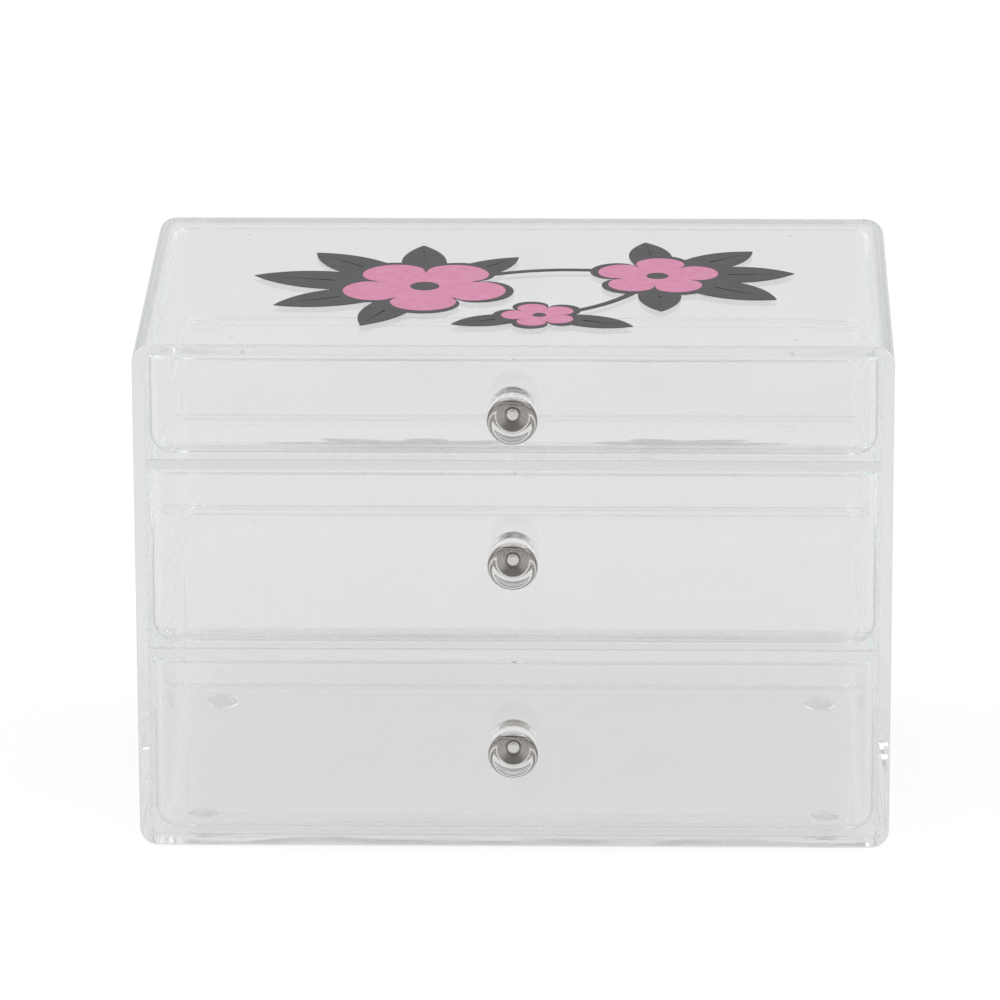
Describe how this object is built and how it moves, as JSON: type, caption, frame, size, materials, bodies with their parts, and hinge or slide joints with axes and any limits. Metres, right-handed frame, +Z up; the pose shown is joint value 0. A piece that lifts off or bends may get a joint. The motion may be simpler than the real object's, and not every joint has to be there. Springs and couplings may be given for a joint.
{
  "type": "clear drawer organizer",
  "caption": "Clear plastic vanity organizer box with stacked sliding drawers, round clear knobs and a printed flower spray on its top.",
  "frame": {"origin": "on the table under the middle of the bounding box, knobs included", "axes": "+X to the right seen from the front, -Y out of the drawer fronts, +Z up"},
  "size_m": [0.24, 0.1592, 0.1697],
  "materials": {
    "clear_case": "polished clear styrene or acrylic sheet, slightly green at its edges",
    "clear_drawer": "polished clear moulded plastic",
    "clear_knob": "polished clear acrylic",
    "soft_clear": "soft clear bumper, satin",
    "chrome_plate": "bright plated",
    "bright_steel": "bright turned steel",
    "pink_ink": "screen-printed ink, satin",
    "grey_ink": "screen-printed ink, satin"
  },
  "bodies": {
    "case": {"outer_case": "clear_case", "back_panel": "clear_case", "lower_shelf": "clear_case", "upper_shelf": "clear_case", "foot_front_left": "soft_clear", "foot_front_right": "soft_clear", "foot_back_left": "soft_clear", "foot_back_right": "soft_clear", "print_leaves": "grey_ink", "print_blossom_left": "pink_ink", "print_centre_left": "grey_ink", "print_blossom_right": "pink_ink", "print_centre_right": "grey_ink", "print_blossom_front": "pink_ink", "print_centre_front": "grey_ink"},
    "bottom_drawer": {"drawer_bottom": "clear_drawer", "knob_bottom": "clear_knob", "knob_insert_bottom": "chrome_plate", "knob_washer_bottom": "bright_steel", "knob_screw_bottom": "bright_steel"},
    "middle_drawer": {"drawer_middle": "clear_drawer", "knob_middle": "clear_knob", "knob_insert_middle": "chrome_plate", "knob_washer_middle": "bright_steel", "knob_screw_middle": "bright_steel"},
    "top_drawer": {"drawer_top": "clear_drawer", "knob_top": "clear_knob", "knob_insert_top": "chrome_plate", "knob_washer_top": "bright_steel", "knob_screw_top": "bright_steel"}
  },
  "joints": [
    {"name": "bottom_drawer_slide", "type": "slide", "parent": "case", "child": "bottom_drawer", "axis": [0, -1, 0], "range_m": [0, 0.11]},
    {"name": "middle_drawer_slide", "type": "slide", "parent": "case", "child": "middle_drawer", "axis": [0, -1, 0], "range_m": [0, 0.11]},
    {"name": "top_drawer_slide", "type": "slide", "parent": "case", "child": "top_drawer", "axis": [0, -1, 0], "range_m": [0, 0.11]}
  ]
}
